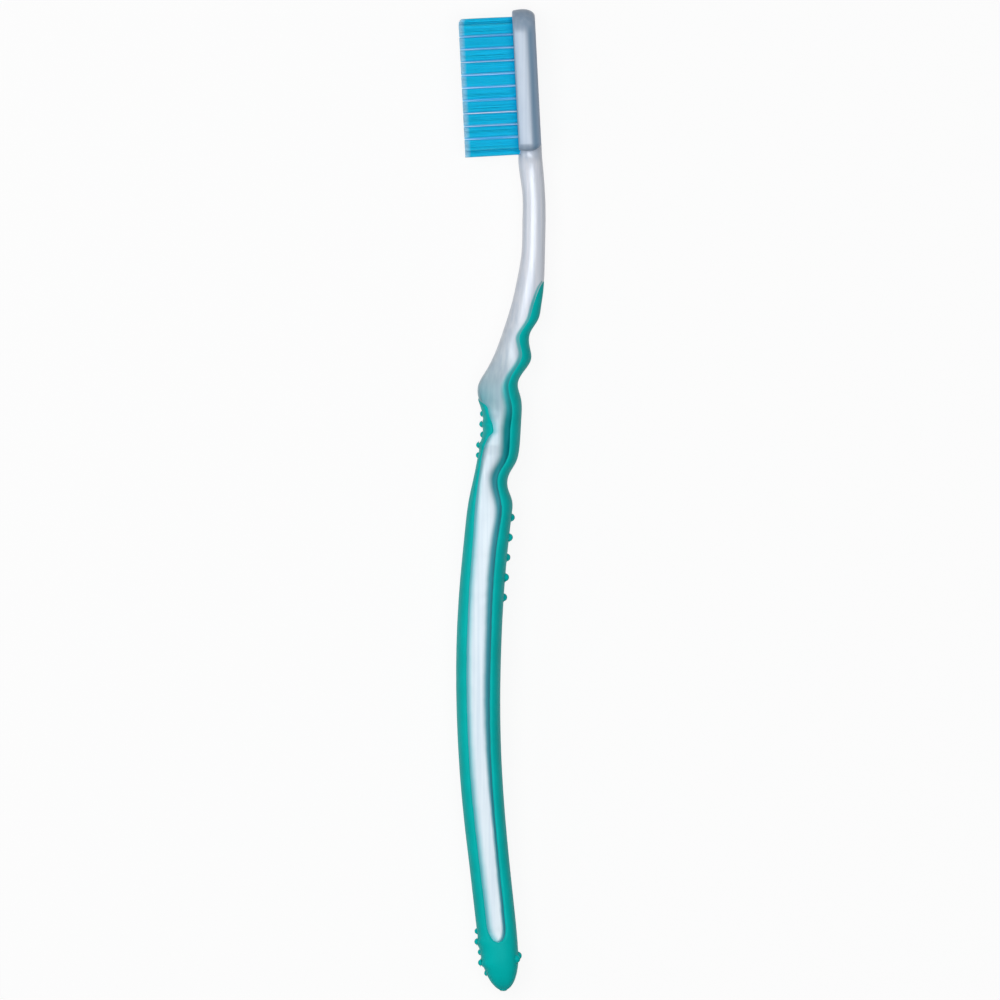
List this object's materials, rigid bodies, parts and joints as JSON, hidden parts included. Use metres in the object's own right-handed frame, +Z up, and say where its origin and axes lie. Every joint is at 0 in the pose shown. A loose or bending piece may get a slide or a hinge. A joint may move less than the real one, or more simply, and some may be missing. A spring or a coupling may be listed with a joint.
{
  "type": "manual toothbrush",
  "caption": "Manual toothbrush with a flat-trimmed tufted head, a slim neck and an arched two-material handle with finger grooves, a thumb pad and raised grip dots.",
  "frame": {"origin": "middle of the brush's bounding box, on the surface it lies on", "axes": "+Y along the brush from the foot of the handle to the tip of the head, +X away from the bristles, +Z up, across the width of the brush, which lies on its side"},
  "size_m": [0.0174, 0.19, 0.0119],
  "materials": {
    "pearl_plastic": "gloss",
    "teal_elastomer": "satin",
    "bristle_nylon": "satin",
    "anchor_metal": "satin"
  },
  "bodies": {
    "root": {"handle_core": "pearl_plastic", "soft_grip": "teal_elastomer", "tuft_a01": "bristle_nylon", "tuft_a02": "bristle_nylon", "tuft_a03": "bristle_nylon", "tuft_a04": "bristle_nylon", "tuft_a05": "bristle_nylon", "tuft_a06": "bristle_nylon", "tuft_a07": "bristle_nylon", "tuft_a08": "bristle_nylon", "tuft_a09": "bristle_nylon", "tuft_a10": "bristle_nylon", "tuft_anchors": "anchor_metal", "tuft_b01": "bristle_nylon", "tuft_b02": "bristle_nylon", "tuft_b03": "bristle_nylon", "tuft_b04": "bristle_nylon", "tuft_b05": "bristle_nylon", "tuft_b06": "bristle_nylon", "tuft_b07": "bristle_nylon", "tuft_b08": "bristle_nylon", "tuft_b09": "bristle_nylon", "tuft_b10": "bristle_nylon", "tuft_b11": "bristle_nylon", "tuft_c01": "bristle_nylon", "tuft_c02": "bristle_nylon", "tuft_c03": "bristle_nylon", "tuft_c04": "bristle_nylon", "tuft_c05": "bristle_nylon", "tuft_c06": "bristle_nylon", "tuft_c07": "bristle_nylon", "tuft_c08": "bristle_nylon", "tuft_c09": "bristle_nylon", "tuft_c10": "bristle_nylon", "tuft_c11": "bristle_nylon", "tuft_d01": "bristle_nylon", "tuft_d02": "bristle_nylon", "tuft_d03": "bristle_nylon", "tuft_d04": "bristle_nylon", "tuft_d05": "bristle_nylon", "tuft_d06": "bristle_nylon", "tuft_d07": "bristle_nylon", "tuft_d08": "bristle_nylon", "tuft_d09": "bristle_nylon", "tuft_d10": "bristle_nylon"}
  },
  "joints": []
}
